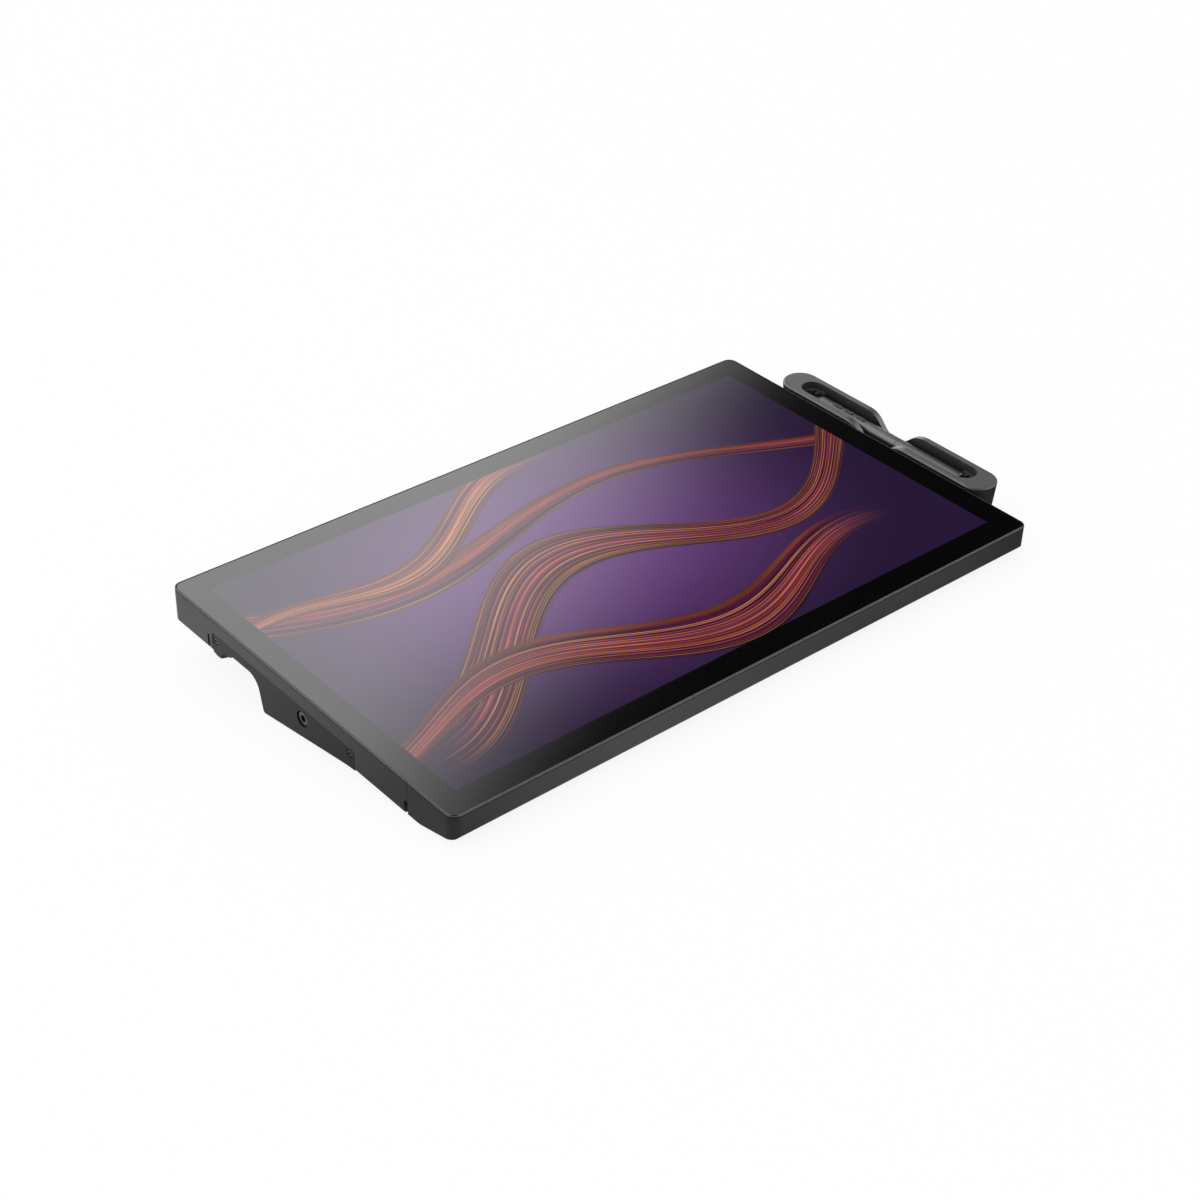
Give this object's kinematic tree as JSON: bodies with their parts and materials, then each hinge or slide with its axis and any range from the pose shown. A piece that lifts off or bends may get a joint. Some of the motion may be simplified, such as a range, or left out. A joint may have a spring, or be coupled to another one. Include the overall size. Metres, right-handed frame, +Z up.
{
  "type": "graphics tablet with screen",
  "caption": "Flat black pen display lying on its rear hump, with rear keys in a finger recess at each side and a pen lying in an oblong tray screwed to its right side.",
  "frame": {"origin": "middle of the bounding box's base, on the plane of the rubber feet", "axes": "+X to the tablet's right, towards the pen tray; +Y to its back edge; +Z up from the desk"},
  "size_m": [0.5467, 0.3098, 0.0557],
  "materials": {
    "case_plastic": "fine satin texture, near black",
    "trim_plastic": "satin, near black",
    "cover_glass": "etched matt front glass",
    "mask_ink": "black print behind the glass",
    "tape_foam": "black foam tape",
    "sensor_film": "clear film with fine wires",
    "panel_glass": "liquid crystal cell",
    "diffuser_film": "white stacked films",
    "guide_acrylic": "clear acrylic",
    "led_strip": "white board with yellow lamps",
    "pan_steel": "thin pressed sheet",
    "board_green": "green solder mask",
    "shield_foil": "plain foil",
    "frame_aluminium": "brushed sheet with posts",
    "cover_plastic": "fine satin texture, near black",
    "screw_steel": "blackened steel",
    "insert_brass": "turned",
    "foot_rubber": "matt black rubber",
    "port_steel": "plated shell",
    "switch_black": "moulded",
    "copper_plate": "copper plate and fins",
    "fan_plastic": "moulded black",
    "key_plastic": "satin, dark grey",
    "tray_plastic": "fine satin texture, dark grey",
    "insert_rubber": "soft matt dark grey",
    "nib_plastic": "hard felt-like plastic",
    "pen_plastic": "satin, near black",
    "pen_cone_plastic": "satin, dark"
  },
  "bodies": {
    "tablet": {"cover_glass": "cover_glass", "border_mask": "mask_ink", "glass_tape": "tape_foam", "touch_sensor": "sensor_film", "lcd_panel": "panel_glass", "backlight_films": "diffuser_film", "light_guide": "guide_acrylic", "led_bar": "led_strip", "backlight_tray": "pan_steel", "pen_sensor_board": "board_green", "shield_plate": "shield_foil", "mid_frame": "frame_aluminium", "frame_posts": "frame_aluminium", "main_housing": "case_plastic", "front_trim": "trim_plastic", "rear_cover": "cover_plastic", "left_grip_cover": "cover_plastic", "right_grip_cover": "cover_plastic", "left_side_cover": "cover_plastic", "right_side_cover": "cover_plastic", "side_cover_screws": "screw_steel", "mount_inserts": "insert_brass", "rubber_feet": "foot_rubber", "port_bay": "trim_plastic", "main_board": "board_green", "heat_spreader": "copper_plate", "fan_housings": "fan_plastic", "control_boards": "board_green", "key_switches": "switch_black", "frame_screws": "screw_steel", "cover_screws": "screw_steel", "tray_body": "tray_plastic", "tray_insert": "insert_rubber", "tray_spacer": "tray_plastic", "tray_screw": "screw_steel", "spare_nibs": "nib_plastic", "dc_inlet": "port_steel", "usb_c_ports": "port_steel", "hdmi_port": "port_steel", "display_port": "port_steel"},
    "left_fan": {"left_fan_rotor": "fan_plastic"},
    "right_fan": {"right_fan_rotor": "fan_plastic"},
    "power_button_body": {"power_button": "key_plastic"},
    "touch_slider_body": {"touch_slider": "key_plastic"},
    "pen": {"pen_front_barrel": "pen_plastic", "pen_rear_barrel": "pen_plastic", "pen_cone": "pen_cone_plastic", "pen_core": "board_green"},
    "nib": {"pen_nib": "nib_plastic"},
    "left_key_1_body": {"left_key_1": "key_plastic"},
    "left_key_2_body": {"left_key_2": "key_plastic"},
    "left_key_3_body": {"left_key_3": "key_plastic"},
    "left_key_4_body": {"left_key_4": "key_plastic"},
    "right_key_1_body": {"right_key_1": "key_plastic"},
    "right_key_2_body": {"right_key_2": "key_plastic"},
    "right_key_3_body": {"right_key_3": "key_plastic"},
    "right_key_4_body": {"right_key_4": "key_plastic"},
    "pen_switch_front_body": {"pen_switch_front": "pen_cone_plastic"},
    "pen_switch_middle_body": {"pen_switch_middle": "pen_cone_plastic"},
    "pen_switch_rear_body": {"pen_switch_rear": "pen_cone_plastic"}
  },
  "joints": [
    {"name": "left_fan_spin", "type": "hinge", "parent": "tablet", "child": "left_fan", "pos_m": [-0.16575, 0.00013, 0.02367], "axis": [0, -0.1085, 0.9941], "continuous": true},
    {"name": "right_fan_spin", "type": "hinge", "parent": "tablet", "child": "right_fan", "pos_m": [0.13425, 0.00013, 0.02367], "axis": [0, -0.1085, 0.9941], "continuous": true},
    {"name": "left_key_1_press", "type": "slide", "parent": "tablet", "child": "left_key_1_body", "axis": [0, -0.1085, 0.9941], "range_m": [0, 0.0008], "stiffness_N_per_m": 1000, "springref_m": -0.0003},
    {"name": "left_key_2_press", "type": "slide", "parent": "tablet", "child": "left_key_2_body", "axis": [0, -0.1085, 0.9941], "range_m": [0, 0.0008], "stiffness_N_per_m": 1000, "springref_m": -0.0003},
    {"name": "left_key_3_press", "type": "slide", "parent": "tablet", "child": "left_key_3_body", "axis": [0, -0.1085, 0.9941], "range_m": [0, 0.0008], "stiffness_N_per_m": 1000, "springref_m": -0.0003},
    {"name": "left_key_4_press", "type": "slide", "parent": "tablet", "child": "left_key_4_body", "axis": [0, -0.1085, 0.9941], "range_m": [0, 0.0008], "stiffness_N_per_m": 1000, "springref_m": -0.0003},
    {"name": "right_key_1_press", "type": "slide", "parent": "tablet", "child": "right_key_1_body", "axis": [0, -0.1085, 0.9941], "range_m": [0, 0.0008], "stiffness_N_per_m": 1000, "springref_m": -0.0003},
    {"name": "right_key_2_press", "type": "slide", "parent": "tablet", "child": "right_key_2_body", "axis": [0, -0.1085, 0.9941], "range_m": [0, 0.0008], "stiffness_N_per_m": 1000, "springref_m": -0.0003},
    {"name": "right_key_3_press", "type": "slide", "parent": "tablet", "child": "right_key_3_body", "axis": [0, -0.1085, 0.9941], "range_m": [0, 0.0008], "stiffness_N_per_m": 1000, "springref_m": -0.0003},
    {"name": "right_key_4_press", "type": "slide", "parent": "tablet", "child": "right_key_4_body", "axis": [0, -0.1085, 0.9941], "range_m": [0, 0.0008], "stiffness_N_per_m": 1000, "springref_m": -0.0003},
    {"name": "power_press", "type": "slide", "parent": "tablet", "child": "power_button_body", "axis": [0, -0.9941, -0.1085], "range_m": [0, 0.0008], "stiffness_N_per_m": 1000, "springref_m": -0.0003},
    {"name": "touch_switch_slide", "type": "slide", "parent": "tablet", "child": "touch_slider_body", "axis": [1, 0, 0], "range_m": [0, 0.004]},
    {"name": "pen_lift", "type": "slide", "parent": "tablet", "child": "pen", "axis": [0, -0.1085, 0.9941], "range_m": [0, 0.06]},
    {"name": "nib_press", "type": "slide", "parent": "pen", "child": "nib", "axis": [0, -0.9941, -0.1085], "range_m": [0, 0.001], "stiffness_N_per_m": 1000, "springref_m": -0.0003},
    {"name": "pen_switch_front_press", "type": "slide", "parent": "pen", "child": "pen_switch_front_body", "axis": [0, 0.1085, -0.9941], "range_m": [0, 0.0004], "stiffness_N_per_m": 1000, "springref_m": -0.0002},
    {"name": "pen_switch_middle_press", "type": "slide", "parent": "pen", "child": "pen_switch_middle_body", "axis": [0, 0.1085, -0.9941], "range_m": [0, 0.0004], "stiffness_N_per_m": 1000, "springref_m": -0.0002},
    {"name": "pen_switch_rear_press", "type": "slide", "parent": "pen", "child": "pen_switch_rear_body", "axis": [0, 0.1085, -0.9941], "range_m": [0, 0.0004], "stiffness_N_per_m": 1000, "springref_m": -0.0002}
  ]
}
